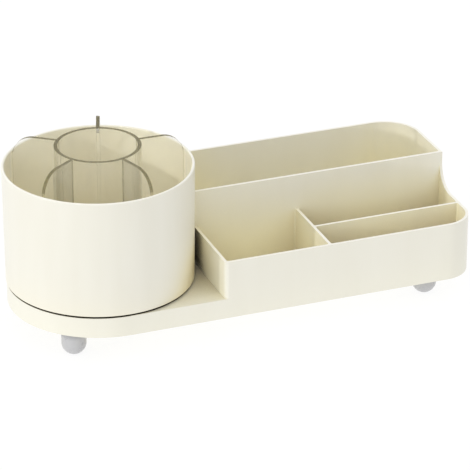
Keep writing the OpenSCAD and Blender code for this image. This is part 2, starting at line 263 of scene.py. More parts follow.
class Finish(bpy.types.PropertyGroup):
    """Colours of the finishes, with the painted shade, bounce light and highlights mixed into them."""

    ivory: shade("Ivory", "the moulded plastic", (0.793, 0.775, 0.688))
    # Painted highlight on the rims where they face up.
    ivory_rim_highlight: shade("Ivory rim", "the moulded plastic along its polished rims", (0.99, 0.97, 0.89))
    # Painted shade and warm bounce light, mixed in by how closed in a surface is.
    tray_deep: shade("Tray, closed in", "the tray's outside where closed in", (0.87, 0.845, 0.70))
    tray_nook: shade("Tray nook", "the tray's outside in narrow nooks", (0.88, 0.86, 0.71))
    shelf_deep: shade("Shelf, closed in", "the platform's top where closed in", (0.90, 0.855, 0.65))
    shelf_nook: shade("Shelf nook", "the platform's top in narrow nooks", (0.49, 0.445, 0.335))
    bin_deep: shade("Bin, closed in", "the front compartments where closed in", (0.98, 0.93, 0.67))
    bin_nook: shade("Bin nook", "the front compartments towards their floors", (0.66, 0.60, 0.46))
    rear_deep: shade("Rear bin, closed in", "the rear bin where closed in", (1.0, 0.945, 0.68))
    rear_nook: shade("Rear bin nook", "the rear bin towards its floor", (0.72, 0.65, 0.45))
    cup_deep: shade("Cup, closed in", "the cup's outside where closed in", (0.95, 0.85, 0.56))
    cup_nook: shade("Cup nook", "the cup's outside in narrow nooks", (0.72, 0.65, 0.45))
    bore_deep: shade("Bore, closed in", "the cup's inside where closed in", (0.935, 0.90, 0.73))
    bore_nook: shade("Bore nook", "the cup's inside towards its floor", (0.71, 0.65, 0.485))
    # Painted shade in the narrowest gaps.
    ivory_gap_shade: shade("Seam", "the moulded plastic inside its narrowest gaps", (0.04, 0.03, 0.012))
    clear: shade("Clear", "what passes one face of the clear plastic", (0.994, 0.992, 0.982))
    clear_mirror: shade("Clear mirror", "what the clear plastic mirrors", (0.93, 0.92, 0.86))
    clear_haze: shade("Clear haze", "the faint haze in the clear plastic", (0.78, 0.75, 0.64))
    # Painted shade: a darker cast on the fins beside the tube.
    clear_root_shade: shade("Clear root", "the fins beside the tube, seen at a slant", (0.78, 0.78, 0.77))
    # Painted shade on the upward edges of the clear plastic.
    clear_edge_shade: shade("Clear edge", "the edges of the clear plastic", (0.165, 0.142, 0.06))
    silicone: shade("Silicone", "the soft feet", (0.55, 0.55, 0.555))
    # Painted shade on the feet close under the tray.
    silicone_shade: shade("Silicone root", "the soft feet close under the tray", (0.34, 0.34, 0.35))
    steel: shade("Steel", "the plated steel", (0.62, 0.63, 0.65))
    track: shade("Track", "the bearing tracks", (0.78, 0.77, 0.73))
    adhesive: shade("Adhesive", "the adhesive discs", (0.3, 0.32, 0.33))
    floor: shade("Floor", "the studio floor", (0.14, 0.14, 0.14))


class CameraSizes(bpy.types.PropertyGroup):
    """Where the camera stands."""

    turn: bpy.props.FloatProperty(
        name="Azimuth", description="Direction that the camera looks from",
        default=math.radians(-21.008), subtype="ANGLE"
    )
    rise: bpy.props.FloatProperty(
        name="Elevation", description="Angle of the camera above the floor",
        default=math.radians(25.77), subtype="ANGLE"
    )
    distance: length("Distance", "Distance from the camera to its aim", 2.4008)
    aim: bpy.props.FloatVectorProperty(
        name="Aim", description="Point that the camera looks at",
        default=(0.00069, -0.01064, 0.05623), subtype="XYZ"
    )
    lens: bpy.props.FloatProperty(name="Lens", description="Focal length in millimetres", default=240.23)


def start_clean():
    """Goes back to object mode, with nothing selected."""
    if bpy.context.mode != "OBJECT":
        bpy.ops.object.mode_set(mode="OBJECT")
    bpy.ops.object.select_all(action="DESELECT")


def settle(obj):
    """Puts the place, turn and size of the object just added into its mesh."""
    bpy.ops.object.transform_apply(location=True, rotation=True, scale=True)
    return obj


def add_block(name, low, high):
    """A box between two corners."""
    start_clean()
    low, high = Vector(low), Vector(high)
    bpy.ops.mesh.primitive_cube_add(size=1, location=(low + high) / 2)
    obj = bpy.context.active_object
    obj.name = name
    obj.scale = high - low
    return settle(obj)


def add_drum(name, centre, radius, low, high, sides):
    """An upright cylinder between two heights."""
    start_clean()
    place = (centre[0], centre[1], (low + high) / 2)
    bpy.ops.mesh.primitive_cylinder_add(vertices=sides, radius=radius, depth=high - low, location=place)
    obj = bpy.context.active_object
    obj.name = name
    return settle(obj)


def add_ball(name, centre, radius):
    """A ball with its poles above and below."""
    start_clean()
    bpy.ops.mesh.primitive_uv_sphere_add(
        segments=BALL_STEPS, ring_count=BALL_STEPS // 2, radius=radius, location=centre
    )
    obj = bpy.context.active_object
    obj.name = name
    return settle(obj)


def trim(obj, height, side):
    """Cuts off what lies above a height, or below it where side is -1, and closes the cut."""
    edit(obj, "FACE")
    bpy.ops.mesh.select_all(action="SELECT")
    bpy.ops.mesh.bisect(
        plane_co=(0, 0, height), plane_no=(0, 0, side), use_fill=True, clear_outer=True, threshold=MERGE
    )
    bpy.ops.object.mode_set(mode="OBJECT")


def edit(obj, mode):
    """Opens one object in edit mode, with nothing in it selected."""
    start_clean()
    bpy.context.view_layer.objects.active = obj
    obj.select_set(True)
    bpy.ops.object.mode_set(mode="EDIT")
    bpy.ops.mesh.select_mode(type=mode)
    bpy.ops.mesh.select_all(action="DESELECT")
    return bmesh.from_edit_mesh(obj.data)


def pick_edges(obj, test):
    """Selects the edges that pass a test."""
    mesh = edit(obj, "EDGE")
    for edge in mesh.edges:
        if test(edge):
            edge.select_set(True)
    bmesh.update_edit_mesh(obj.data)


def pick_faces(obj, test):
    """Selects the faces that pass a test."""
    mesh = edit(obj, "FACE")
    for face in mesh.faces:
        if test(face):
            face.select_set(True)
    bmesh.update_edit_mesh(obj.data)


def round_edges(obj, radius, segments, test):
    """Bevels the edges that pass a test to a round of one radius."""
    pick_edges(obj, test)
    bpy.ops.mesh.bevel(offset=radius, segments=segments, profile=0.5, affect="EDGES", clamp_overlap=True)
    bpy.ops.mesh.select_all(action="SELECT")
    bpy.ops.mesh.remove_doubles(threshold=MERGE)
    bpy.ops.object.mode_set(mode="OBJECT")


def lathe(name, axis, profile):
    """Spins a closed profile of radius and height pairs round an upright axis."""
    start_clean()
    bpy.ops.mesh.primitive_plane_add(size=MM, location=(axis.x, axis.y, 0))
    obj = settle(bpy.context.active_object)
    obj.name = name
    mesh = edit(obj, "VERT")
    mesh.verts.ensure_lookup_table()
    start = mesh.verts[0].co.copy()
    for vert in mesh.verts[1:]:
        vert.select_set(True)
    bpy.ops.mesh.delete(type="VERT")
    bpy.ops.mesh.select_all(action="SELECT")
    points = [Vector((axis.x + radius, axis.y, height)) for radius, height in profile]
    bpy.ops.transform.translate(value=points[0] - start)
    for here, there in zip(points, points[1:]):
        bpy.ops.mesh.extrude_region_move(TRANSFORM_OT_translate={"value": there - here})
    mesh = bmesh.from_edit_mesh(obj.data)
    for vert in mesh.verts:
        vert.select_set(min((vert.co - points[0]).length, (vert.co - points[-1]).length) < MERGE)
    bpy.ops.mesh.edge_face_add()
    bpy.ops.mesh.select_all(action="SELECT")
    bpy.ops.mesh.spin(steps=RING_STEPS, angle=2 * math.pi, center=(axis.x, axis.y, 0), axis=(0, 0, 1))
    bpy.ops.mesh.select_all(action="SELECT")
    bpy.ops.mesh.remove_doubles(threshold=MERGE)
    bpy.ops.mesh.normals_make_consistent(inside=False)
    bpy.ops.object.mode_set(mode="OBJECT")
    return obj


def upright_at(x, y):
    """Tests for the upright edge at one corner of a plan."""
    def test(edge):
        a, b = (v.co for v in edge.verts)
        along = abs(a.x - b.x) + abs(a.y - b.y)
        return along < NEAR and abs(a.x - x) + abs(a.y - y) < CORNER_NEAR
    return test


def level_at(z, past=None):
    """Tests for sharp level edges at one height, where their middle passes a second test."""
    def test(edge):
        a, b = (v.co for v in edge.verts)
        level = abs(a.z - z) < NEAR and abs(b.z - z) < NEAR
        sharp = len(edge.link_faces) == 2 and edge.calc_face_angle(0) > SHARP
        return level and sharp and (past is None or past((a + b) / 2))
    return test


def combine(obj, other, operation):
    """Joins another solid to an object, or cuts it away, and removes that solid."""
    start_clean()
    bpy.context.view_layer.objects.active = obj
    obj.select_set(True)
    step = obj.modifiers.new("Combine", "BOOLEAN")
    step.operation = operation
    step.solver = "EXACT"
    step.object = other
    bpy.ops.object.modifier_apply(modifier=step.name)
    bpy.data.objects.remove(other)
    edit(obj, "VERT")
    bpy.ops.mesh.select_all(action="SELECT")
    bpy.ops.mesh.remove_doubles(threshold=WELD)
    bpy.ops.mesh.dissolve_degenerate(threshold=WELD)
    bpy.ops.object.mode_set(mode="OBJECT")


def join(obj, other):
    """Adds another solid."""
    combine(obj, other, "UNION")


def cut(obj, other):
    """Cuts another solid away."""
    combine(obj, other, "DIFFERENCE")


def finish_piece(obj, body, slot, material, *nodes):
    """Smooths a piece, gives it its finish and puts it in its nodes' place."""
    start_clean()
    bpy.context.view_layer.objects.active = obj
    obj.select_set(True)
    bpy.ops.object.shade_smooth_by_angle(angle=SMOOTH)
    even = obj.modifiers.new("Even", "WEIGHTED_NORMAL")
    even.keep_sharp = True
    bpy.ops.object.modifier_apply(modifier=even.name)
    obj.data.materials.clear()
    obj.data.materials.append(material)
    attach(obj, body)
    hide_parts(*nodes)


def add_finish(obj, material):
    """Gives a piece one more finish, and returns its number."""
    obj.data.materials.append(material)
    return len(obj.data.materials) - 1


def put(node, name, value):
    """Sets one input of a node."""
    node.inputs[name].default_value = value


def new_material(name):
    """A material with a Principled shader; returns it, its nodes, its links and the shader."""
    material = bpy.data.materials.get(name) or bpy.data.materials.new(name)
    material.use_nodes = True
    nodes = material.node_tree.nodes
    nodes.clear()
    nodes.new("ShaderNodeOutputMaterial")
    shader = nodes.new("ShaderNodeBsdfPrincipled")
    links = material.node_tree.links
    show(nodes, links, shader.outputs["BSDF"])
    return material, nodes, links, shader


def show(nodes, links, result):
    """Puts a shader on its material's output."""
    output = next(node for node in nodes if node.type == "OUTPUT_MATERIAL")
    links.new(result, output.inputs["Surface"])


def mix_shaders(nodes, links, first, second):
    """Mixes two shaders, and returns the mix."""
    mix = nodes.new("ShaderNodeMixShader")
    links.new(first, mix.inputs[1])
    links.new(second, mix.inputs[2])
    return mix


def add_noise(nodes, links, scale, detail, stretch=(1, 1, 1)):
    """Noise on the piece's own coordinates."""
    place = nodes.new("ShaderNodeTexCoord")
    mapping = nodes.new("ShaderNodeMapping")
    put(mapping, "Scale", stretch)
    noise = nodes.new("ShaderNodeTexNoise")
    put(noise, "Scale", scale)
    put(noise, "Detail", detail)
    links.new(place.outputs["Object"], mapping.inputs["Vector"])
    links.new(mapping.outputs["Vector"], noise.inputs["Vector"])
    return noise


def add_spread(nodes, links, source, socket, low, high):
    """Maps noise to a narrow span of a number."""
    spread = nodes.new("ShaderNodeMapRange")
    put(spread, "From Min", NOISE_LOW)
    put(spread, "From Max", NOISE_HIGH)
    put(spread, "To Min", low)
    put(spread, "To Max", high)
    links.new(source.outputs["Fac"], spread.inputs["Value"])
    links.new(spread.outputs["Result"], socket)


def add_tint(nodes, links, source, colour, socket, dip):
    """Lets noise move a colour a little towards a deeper one."""
    ramp = nodes.new("ShaderNodeValToRGB")
    ramp.color_ramp.elements[0].position = NOISE_LOW
    ramp.color_ramp.elements[1].position = NOISE_HIGH
    ramp.color_ramp.elements[0].color = [c * (1 - d) for c, d in zip(colour[:3], dip)] + [1]
    ramp.color_ramp.elements[1].color = colour
    links.new(source.outputs["Fac"], ramp.inputs["Fac"])
    links.new(ramp.outputs["Color"], socket)


def add_blend(nodes, links, value, socket, low, high):
    """Mixes colour A into colour B while a value goes from low to high, and returns the mix."""
    span = nodes.new("ShaderNodeMapRange")
    put(span, "From Min", low)
    put(span, "From Max", high)
    mix = nodes.new("ShaderNodeMix")
    mix.data_type = "RGBA"
    links.new(value, span.inputs["Value"])
    links.new(span.outputs["Result"], mix.inputs["Factor"])
    links.new(mix.outputs["Result"], socket)
    return mix


def add_painted_shade(nodes, links, place, gap_shade, nook, finish, socket):
    """Paints shade and bounce light where a surface is closed in; returns the socket for its open colour.
    """
    shades = (
        (*gap_shade, finish.ivory_gap_shade),
        (NOOK_REACH, NOOK_LOW, nook, getattr(finish, place + "_nook")),
        (*DEEP, getattr(finish, place + "_deep")),
    )
    for reach, low, high, colour in shades:
        closed = nodes.new("ShaderNodeAmbientOcclusion")
        closed.samples = AO_SAMPLES
        put(closed, "Distance", reach)
        mix = add_blend(nodes, links, closed.outputs["AO"], socket, low, high)
        put(mix, "A", colour)
        socket = mix.inputs["B"]
    return socket


def add_rim_highlight(nodes, links, finish, socket):
    """Paints a highlight on the plastic of the rims where they face up."""
    shape = nodes.new("ShaderNodeNewGeometry")
    parts = nodes.new("ShaderNodeSeparateXYZ")
    links.new(shape.outputs["Normal"], parts.inputs["Vector"])
    mix = add_blend(nodes, links, parts.outputs["Z"], socket, low=0.3, high=0.95)
    put(mix, "A", finish.ivory)
    put(mix, "B", finish.ivory_rim_highlight)


def add_bump(nodes, links, source, socket, depth):
    """Raises a surface by noise, to a depth in metres."""
    bump = nodes.new("ShaderNodeBump")
    put(bump, "Strength", 0.3)
    put(bump, "Distance", depth)
    links.new(source.outputs["Fac"], bump.inputs["Height"])
    links.new(bump.outputs["Normal"], socket)


def ivory_plastic(name="ivory_plastic", place="tray", gap_shade=GAP_SHADE, nook=NOOK_HIGH, rim=False, gloss=GLOSS):
    """Satin moulded plastic with a fine skin, with painted shade and bounce light where closed in.

    It is clouded or, on a rim, carries a painted highlight where it faces up. Its gap and nook
    ranges say how closed in a spot must be for their painted shade.
    """
    material, nodes, links, shader = new_material(name)
    finish = bpy.context.scene.holder_finish
    cloud = add_noise(nodes, links, scale=60, detail=3, stretch=(1, 1, 0.16))
    skin = add_noise(nodes, links, scale=1600, detail=2)
    crevice = add_painted_shade(nodes, links, place, gap_shade, nook, finish, shader.inputs["Base Color"])
    # On a rim a painted highlight takes the place of the cloud tint.
    if rim:
        add_rim_highlight(nodes, links, finish, crevice)
    else:
        add_tint(nodes, links, cloud, finish.ivory, crevice, dip=(0.025, 0.028, 0.04))
    add_spread(nodes, links, cloud, shader.inputs["Roughness"], low=0.3, high=0.4)
    add_bump(nodes, links, skin, shader.inputs["Normal"], depth=0.02 * MM)
    put(shader, "IOR", MOULDED_IOR)
    put(shader, "Specular IOR Level", gloss)
    return material


def clear_plastic(name, slant_shade):
    """Clear polished plastic that bends what is seen through it, with a cast where seen at a slant."""
    material, nodes, links, shader = new_material(name)
    nodes.remove(shader)
    finish = bpy.context.scene.holder_finish
    haze = add_noise(nodes, links, scale=60, detail=2)

    bend = nodes.new("ShaderNodeBsdfRefraction")
    put(bend, "IOR", CLEAR_IOR)
    put(bend, "Roughness", 0.0)
    # Slant cast: painted shade where the given colour is darker than the clear.
    slant = nodes.new("ShaderNodeLayerWeight")
    put(slant, "Blend", 0.5)
    cast = add_blend(nodes, links, slant.outputs["Facing"], bend.inputs["Color"], low=0.15, high=0.45)
    put(cast, "B", slant_shade)
    add_tint(nodes, links, haze, finish.clear, cast.inputs["A"], dip=(0.004, 0.004, 0.008))

    mirror = nodes.new("ShaderNodeBsdfGlossy")
    put(mirror, "Color", finish.clear_mirror)
    add_spread(nodes, links, haze, mirror.inputs["Roughness"], low=0.0, high=0.02)
    share = nodes.new("ShaderNodeFresnel")
    put(share, "IOR", CLEAR_IOR)
    glass = mix_shaders(nodes, links, bend.outputs["BSDF"], mirror.outputs["BSDF"])
    links.new(share.outputs["Fac"], glass.inputs["Fac"])

    dust = nodes.new("ShaderNodeBsdfDiffuse")
    put(dust, "Color", finish.clear_haze)
    clouded = mix_shaders(nodes, links, glass.outputs["Shader"], dust.outputs["BSDF"])
    add_spread(nodes, links, haze, clouded.inputs["Fac"], low=0.09, high=0.13)

    # Shadow and diffuse rays pass straight through.
    path = nodes.new("ShaderNodeLightPath")
    lit = nodes.new("ShaderNodeMath")
    lit.operation = "MAXIMUM"
    links.new(path.outputs["Is Shadow Ray"], lit.inputs[0])
    links.new(path.outputs["Is Diffuse Ray"], lit.inputs[1])
    open_way = nodes.new("ShaderNodeBsdfTransparent")
    passing = mix_shaders(nodes, links, clouded.outputs["Shader"], open_way.outputs["BSDF"])
    links.new(lit.outputs["Value"], passing.inputs["Fac"])
    show(nodes, links, passing.outputs["Shader"])
    return material


def clear_edge_shade():
    """Painted shade on the clear plastic's edges: the deep olive that light running along the sheet gives.
    """
    material, nodes, links, shader = new_material("clear_edge_shade")
    finish = bpy.context.scene.holder_finish
    depth = add_noise(nodes, links, scale=90, detail=2)
    add_tint(nodes, links, depth, finish.clear_edge_shade, shader.inputs["Base Color"], dip=(0.25, 0.25, 0.3))
    add_spread(nodes, links, depth, shader.inputs["Roughness"], low=0.08, high=0.16)
    put(shader, "IOR", CLEAR_IOR)
    bend = nodes.new("ShaderNodeBsdfRefraction")
    put(bend, "Color", finish.clear)
    put(bend, "IOR", CLEAR_IOR)
    put(bend, "Roughness", 0.0)
    mixed = mix_shaders(nodes, links, shader.outputs["BSDF"], bend.outputs["BSDF"])
    put(mixed, "Fac", 0.45)
    show(nodes, links, mixed.outputs["Shader"])
    return material


def grey_silicone():
    """Soft translucent silicone with a dusty bloom, and painted shade that darkens it close under the tray.
    """
    material, nodes, links, shader = new_material("grey_silicone")
    finish = bpy.context.scene.holder_finish
    bloom = add_noise(nodes, links, scale=220, detail=3)
    place = nodes.new("ShaderNodeTexCoord")
    parts = nodes.new("ShaderNodeSeparateXYZ")
    links.new(place.outputs["Object"], parts.inputs["Vector"])
    # Painted shade: darker towards the tray's underside.
    start = tray_low.z - bpy.context.scene.holder_foot.root
    root = add_blend(nodes, links, parts.outputs["Z"], shader.inputs["Base Color"], start, tray_low.z)
    put(root, "B", finish.silicone_shade)
    add_tint(nodes, links, bloom, finish.silicone, root.inputs["A"], dip=(0.05, 0.05, 0.04))
    add_spread(nodes, links, bloom, shader.inputs["Roughness"], low=0.25, high=0.35)
    put(shader, "Transmission Weight", 0.08)
    put(shader, "IOR", SILICONE_IOR)
    return material


def plated_steel():
    """Bright plated steel with fine scuffs."""
    material, nodes, links, shader = new_material("plated_steel")
    colour = bpy.context.scene.holder_finish.steel
    scuff = add_noise(nodes, links, scale=900, detail=4)
    add_tint(nodes, links, scuff, colour, shader.inputs["Base Color"], dip=(0.08, 0.08, 0.07))
    add_spread(nodes, links, scuff, shader.inputs["Roughness"], low=0.16, high=0.3)
    put(shader, "Metallic", 1.0)
    return material


def track_plastic():
    """Slippery white plastic of the bearing tracks, with a fine skin."""
    material, nodes, links, shader = new_material("track_plastic")
    colour = bpy.context.scene.holder_finish.track
    skin = add_noise(nodes, links, scale=700, detail=3)
    add_tint(nodes, links, skin, colour, shader.inputs["Base Color"], dip=(0.04, 0.04, 0.05))
    add_spread(nodes, links, skin, shader.inputs["Roughness"], low=0.38, high=0.5)
    add_bump(nodes, links, skin, shader.inputs["Normal"], depth=0.02 * MM)
    return material


def foam_adhesive():
    """Grey foam adhesive with open cells."""
    material, nodes, links, shader = new_material("foam_adhesive")
    colour = bpy.context.scene.holder_finish.adhesive
    cells = add_noise(nodes, links, scale=1800, detail=2)
    add_tint(nodes, links, cells, colour, shader.inputs["Base Color"], dip=(0.2, 0.2, 0.2))
    add_spread(nodes, links, cells, shader.inputs["Roughness"], low=0.7, high=0.9)
    add_bump(nodes, links, cells, shader.inputs["Normal"], depth=0.05 * MM)
    return material


def studio_floor():
    """Pale matte floor that glows, with a faint mottle."""
    material, nodes, links, shader = new_material("studio_floor")
    colour = bpy.context.scene.holder_finish.floor
    mottle = add_noise(nodes, links, scale=3, detail=2)
    add_tint(nodes, links, mottle, colour, shader.inputs["Base Color"], dip=(0.01, 0.01, 0.01))
    put(shader, "Roughness", 0.8)
    put(shader, "Emission Color", WHITE)
    put(shader, "Emission Strength", 0.86)
    return material


def tray_lines(s):
    """Lines of the tray's plan and section that its steps share."""
    t = SimpleNamespace(axis=cup_axis, half=tray_high.y, base=tray_low.z, top=tray_high.z)
    t.deck = race_low.z
    t.platform = t.deck + s.well
    t.low = t.base + s.low_height
    t.floor = t.base + s.sole + s.floor
    t.end = tray_high.x
    t.left = cup_high.x + s.cup_clear
    t.inner = t.half - s.wall
    t.rear = t.inner - s.rear_bin
    t.middle = t.rear - s.wall
    t.bin_end = t.left + s.wall + s.front_bin
    t.slot_x = t.bin_end + s.wall
    t.slot_y = s.front_slot - t.inner
    return t


def tray_outside(s, t):
    """Platform with its round end, and the block of the compartments."""
    inside = t.left + s.box_edge
    tray = add_block("tray_shell", (tray_low.x, -t.half, t.base), (inside + LAP, t.half, t.platform))
    for side in (-1, 1):
        round_edges(tray, t.half * ALMOST, END_STEPS, upright_at(tray_low.x, side * t.half))
    round_edges(tray, s.platform_edge, EDGE_STEPS, level_at(t.platform, lambda p: p.x < inside))
    round_edges(tray, s.bottom_edge, FINE_STEPS, level_at(t.base, lambda p: p.x < inside))

    block = add_block("tray_block", (t.left, -t.half, t.base), (t.end, t.half, t.top))
    round_edges(block, s.front_corner, CORNER_STEPS, upright_at(t.end, -t.half))
    round_edges(block, s.rear_corner, CORNER_STEPS, upright_at(t.end, t.half))
    for side in (-1, 1):
        round_edges(block, s.box_edge, WIDE_STEPS, upright_at(t.left, side * t.half))
    round_edges(block, s.bottom_edge, FINE_STEPS, level_at(t.base))
    join(tray, block)
    return tray


def cut_well(tray, s, t):
    """Round well under the cup, with its pivot post."""
    well_r = t.half - s.platform_edge - s.well_land
    floor_r = well_r - s.well / math.tan(s.well_slope)
    well = add_drum("well", t.axis, floor_r, t.deck, t.platform + LAP, RING_STEPS)
    pick_faces(well, lambda face: face.normal.z > UPWARD)
    share = 1 + (s.well + LAP) / math.tan(s.well_slope) / floor_r
    bpy.ops.transform.resize(value=(share, share, 1), center_override=(t.axis.x, t.axis.y, t.platform))
    bpy.ops.object.mode_set(mode="OBJECT")
    cut(tray, well)
    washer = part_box("pivot_washer")[0].z
    join(tray, add_drum("post", t.axis, s.post, t.deck - LAP, washer, BOSS_STEPS))
    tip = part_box("pivot_screw")[0].z
    cut(tray, add_drum("pilot", t.axis, s.pilot, tip - LAP, washer + LAP, PILOT_STEPS))


def cut_shoulder(tray, s, t):
    """Room over the low walls, with a concave shoulder in the end wall alone."""
    front = -t.half - LAP
    end = t.end - s.wall
    above = t.top + LAP
    cut(tray, add_block("front_room", (t.left - LAP, front, t.low), (end, t.middle, above)))
    shoulder = add_block("shoulder", (end - LAP, front, t.low), (t.end + LAP, t.middle, above))

    def root(edge):
        return all(abs(v.co.y - t.middle) + abs(v.co.z - t.low) < NEAR for v in edge.verts)

    round_edges(shoulder, s.shoulder, ARC_STEPS, root)
    cut(tray, shoulder)


def cut_bins(tray, s, t):
    """Four compartments with rounded corners and floors."""
    end = t.end - s.wall
    # Two opposite corners in plan, and the corner with a large radius outside.
    bins = (
        ((t.left + s.wall, t.rear), (end, t.inner), (end, t.inner), s.rear_corner),
        ((t.left + s.wall, -t.inner), (t.bin_end, t.middle), None, 0),
        ((t.slot_x, t.slot_y + s.wall), (end, t.middle), None, 0),
        ((t.slot_x, -t.inner), (end, t.slot_y), (end, -t.inner), s.front_corner),
    )
    for near, far, big_corner, big_radius in bins:
        cutter = add_block("bin", (*near, t.floor), (*far, t.top + LAP))
        for corner in ((near[0], near[1]), (near[0], far[1]), (far[0], near[1]), (far[0], far[1])):
            # The corner below the shoulder stays sharp.
            if corner == (end, t.middle):
                continue
            if corner == big_corner:
                round_edges(cutter, big_radius - s.wall, CORNER_STEPS, upright_at(*corner))
            else:
                round_edges(cutter, s.bin_corner, FILLET_STEPS, upright_at(*corner))
        round_edges(cutter, s.bin_floor, EDGE_STEPS, level_at(t.floor))
        cut(tray, cutter)


def round_rims(tray, s, t):
    """Soft edges along the tops of the walls."""
    def rim(edge):
        if min(v.co.z for v in edge.verts) < t.low - NEAR or not edge.is_convex:
            return False
        return edge.calc_face_angle(0) > RIM_SHARP

    round_edges(tray, s.rim_edge, EDGE_STEPS, rim)


def cut_underside(tray, s, t):
    """Hollows below, with ribs, bosses, foot sockets and screw holes."""
    under = t.base - LAP
    ribs = t.base + s.rib_lift
    reach = 2 * (t.end - t.left)
    start = tray_low.x + s.wall
    end = t.end - s.wall
    hollow = add_block("platform_hollow", (start, -t.inner, under), (t.left, t.inner, t.deck - s.plate))
    for side in (-1, 1):
        round_edges(hollow, t.inner * ALMOST, END_STEPS, upright_at(start, side * t.inner))
    sole = add_block("sole", (t.left + s.wall, -t.inner, under), (end, t.inner, t.base + s.sole))
    round_edges(sole, s.front_corner - s.wall, CORNER_STEPS, upright_at(end, -t.inner))
    round_edges(sole, s.rear_corner - s.wall, CORNER_STEPS, upright_at(end, t.inner))

    half_rib = s.rib / 2
    x, y = t.axis.x, t.axis.y
    cut(hollow, add_block("rib", (x - reach, y - half_rib, ribs), (x + reach, y + half_rib, t.deck)))
    cut(hollow, add_block("rib", (x - half_rib, y - reach, ribs), (x + half_rib, y + reach, t.deck)))
    for line in (t.middle, t.slot_y):
        middle = line + s.wall / 2
        cut(sole, add_block("rib", (t.left, middle - half_rib, ribs), (t.end, middle + half_rib, t.deck)))
    middle = t.bin_end + s.wall / 2
    cut(sole, add_block("rib", (middle - half_rib, -reach, ribs), (middle + half_rib, reach, t.deck)))

    cut(hollow, add_drum("boss", t.axis, s.pivot_boss, under - LAP, t.deck, BOSS_STEPS))
    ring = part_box("lower_race_screws")[1].x - x - s.screw_head
    screw_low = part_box("lower_race_screws")[0].z
    angles = [i * 2 * math.pi / RACE_SCREWS for i in range(RACE_SCREWS)]
    screws = [(x + ring * math.cos(angle), y + ring * math.sin(angle)) for angle in angles]
    for place in screws:
        cut(hollow, add_drum("boss", place, s.screw_hole + s.boss, under - LAP, t.deck, STUD_STEPS))
    sockets = []
    for node in FEET:
        low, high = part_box(node)
        socket_r = (high.x - low.x) / 2 + s.socket_gap
        place = (low + high) / 2
        sockets.append((place, socket_r))
        room = hollow if place.x < t.left else sole
        cut(room, add_drum("boss", place, socket_r + s.boss, under - LAP, t.deck, BOSS_STEPS))
    cut(tray, hollow)
    cut(tray, sole)
    for place, socket_r in sockets:
        cut(tray, add_drum("socket", place, socket_r, under, t.base + s.socket_depth, BOSS_STEPS))
    for place in screws:
        cut(tray, add_drum("hole", place, s.screw_hole, screw_low - s.socket_gap, t.deck + LAP, HOLE_STEPS))


def within_walls(s, t, spot):
    """Whether a point lies inside the compartments, or on a divider between them."""
    corner = s.rear_corner if spot.y > 0 else s.front_corner
    past_x = spot.x - (t.end - corner)
    past_y = abs(spot.y) - (t.half - corner)
    outside = math.hypot(max(past_x, 0), max(past_y, 0)) + min(max(past_x, past_y), 0) - corner
    return outside < -s.wall / 2 and spot.x > t.left + s.wall / 2


class HOLDER_OT_tray(bpy.types.Operator):
    """Model the tray: platform, compartments, shoulder and ribbed underside"""

    bl_idname = "holder.tray"
    bl_label = "Tray"

    def execute(self, context):
        s = context.scene.holder_tray
        t = tray_lines(s)
        tray = tray_outside(s, t)
        cut_shoulder(tray, s, t)
        cut_bins(tray, s, t)
        round_rims(tray, s, t)
        cut_well(tray, s, t)
        cut_underside(tray, s, t)
        finish_piece(tray, "tray", "ivory_plastic", ivory_plastic(gap_shade=TRAY_GAP_SHADE), "tray_body")
        well = add_finish(tray, ivory_plastic("ivory_well_shading", gap_shade=WELL_GAP_SHADE, gloss=WELL_GLOSS))
        rims = add_finish(tray, ivory_plastic("ivory_tray_rim_highlight", "rear", rim=True))
        shelf = add_finish(tray, ivory_plastic("ivory_shelf_shading", "shelf"))
        bins = add_finish(tray, ivory_plastic("ivory_bin_shading", "bin", nook=BIN_NOOK_HIGH))
        rear = add_finish(tray, ivory_plastic("ivory_rear_shading", "rear"))
        # Copies of the ivory plastic with painted light: shade in the well, a highlight on the rims, and
        # shade and bounce light on the platform's top and in the bins.
        for face in tray.data.polygons:
            spot = face.center
            up = face.normal.z
            reach = math.hypot(spot.x - t.axis.x, spot.y - t.axis.y)
            if up > FACING and reach < t.half and t.deck - NEAR < spot.z < t.platform - NEAR:
                face.material_index = well
            elif up > TILT and spot.z > t.low - s.rim_edge:
                face.material_index = rims
            elif up > FACING and abs(spot.z - t.platform) < s.platform_edge and spot.x < t.left:
                face.material_index = shelf
            elif spot.z > t.floor - NEAR and within_walls(s, t, spot):
                at_end = spot.x > t.end - 2 * s.wall and face.normal.x < -FACING
                face.material_index = rear if at_end or spot.y > t.rear - NEAR else bins
        return {"FINISHED"}


